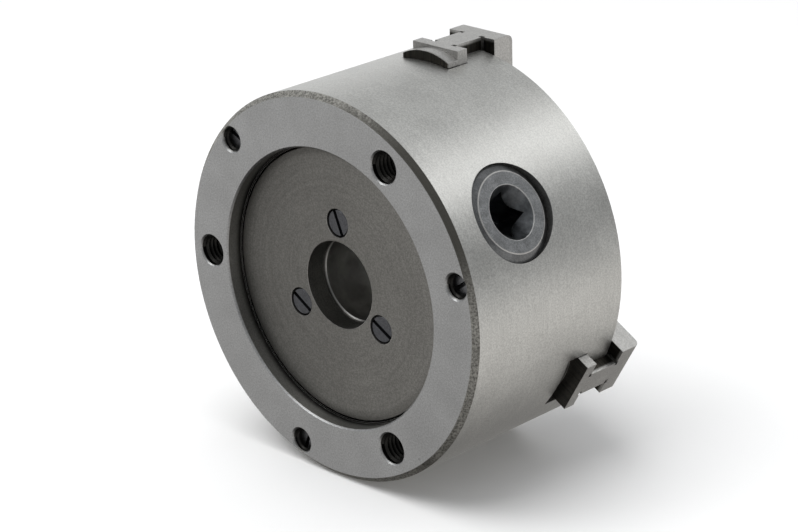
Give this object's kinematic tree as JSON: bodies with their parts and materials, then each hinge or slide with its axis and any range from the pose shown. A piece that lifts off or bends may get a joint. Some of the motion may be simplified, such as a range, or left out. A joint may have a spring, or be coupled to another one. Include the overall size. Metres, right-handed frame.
{
  "type": "lathe chuck",
  "caption": "Plain-back self-centring scroll lathe chuck: round steel body, rear dust cover, square-socket pinions, spiral scroll plate and stepped jaws that move together.",
  "frame": {"origin": "centre of the rear mounting face, on the spindle axis", "axes": "+Y along the spindle axis out of the mounting face, jaws towards -Y, +Z towards the first jaw"},
  "size_m": [0.1, 0.073, 0.103],
  "materials": {
    "body_steel": "ground and turned, satin",
    "scroll_steel": "turned, oiled",
    "cover_steel": "turned, dull",
    "pinion_steel": "blackened, turned face",
    "screw_black": "blackened",
    "jaw_steel": "hardened and ground"
  },
  "bodies": {
    "body": {"chuck_body": "body_steel", "back_cover": "cover_steel", "cover_screw_1": "screw_black", "cover_screw_2": "screw_black", "cover_screw_3": "screw_black", "keeper_screw_1": "screw_black", "keeper_screw_2": "screw_black", "keeper_screw_3": "screw_black"},
    "scroll": {"scroll_plate": "scroll_steel"},
    "pinion_1": {"pinion_1": "pinion_steel", "pinion_teeth_1": "pinion_steel"},
    "pinion_2": {"pinion_2": "pinion_steel", "pinion_teeth_2": "pinion_steel"},
    "pinion_3": {"pinion_3": "pinion_steel", "pinion_teeth_3": "pinion_steel"},
    "jaw_1": {"jaw_1": "jaw_steel"},
    "jaw_2": {"jaw_2": "jaw_steel"},
    "jaw_3": {"jaw_3": "jaw_steel"}
  },
  "joints": [
    {"name": "scroll_turn", "type": "hinge", "parent": "body", "child": "scroll", "pos_m": [0, -0.035, 0], "axis": [0, -1, 0], "range_deg": [-150, 660]},
    {"name": "jaw_1_slide", "type": "slide", "parent": "body", "child": "jaw_1", "axis": [0, 0, -1], "range_m": [-0.0025, 0.011]},
    {"name": "jaw_2_slide", "type": "slide", "parent": "body", "child": "jaw_2", "axis": [0.866, 0, 0.5], "range_m": [-0.0025, 0.011]},
    {"name": "jaw_3_slide", "type": "slide", "parent": "body", "child": "jaw_3", "axis": [-0.866, 0, 0.5], "range_m": [-0.0025, 0.011]},
    {"name": "pinion_1_turn", "type": "hinge", "parent": "body", "child": "pinion_1", "pos_m": [0, -0.0209, 0], "axis": [0.866, 0, -0.5], "range_deg": [-525, 2310]},
    {"name": "pinion_2_turn", "type": "hinge", "parent": "body", "child": "pinion_2", "pos_m": [0, -0.0209, 0], "axis": [0, 0, 1], "range_deg": [-525, 2310]},
    {"name": "pinion_3_turn", "type": "hinge", "parent": "body", "child": "pinion_3", "pos_m": [0, -0.0209, 0], "axis": [-0.866, 0, -0.5], "range_deg": [-525, 2310]}
  ],
  "couplings": [
    {"joint": "jaw_1_slide", "follows": "scroll_turn", "m_per_rad": 0.00095493},
    {"joint": "jaw_2_slide", "follows": "scroll_turn", "m_per_rad": 0.00095493},
    {"joint": "jaw_3_slide", "follows": "scroll_turn", "m_per_rad": 0.00095493},
    {"joint": "pinion_1_turn", "follows": "scroll_turn", "ratio": 3.5},
    {"joint": "pinion_2_turn", "follows": "scroll_turn", "ratio": 3.5},
    {"joint": "pinion_3_turn", "follows": "scroll_turn", "ratio": 3.5}
  ]
}
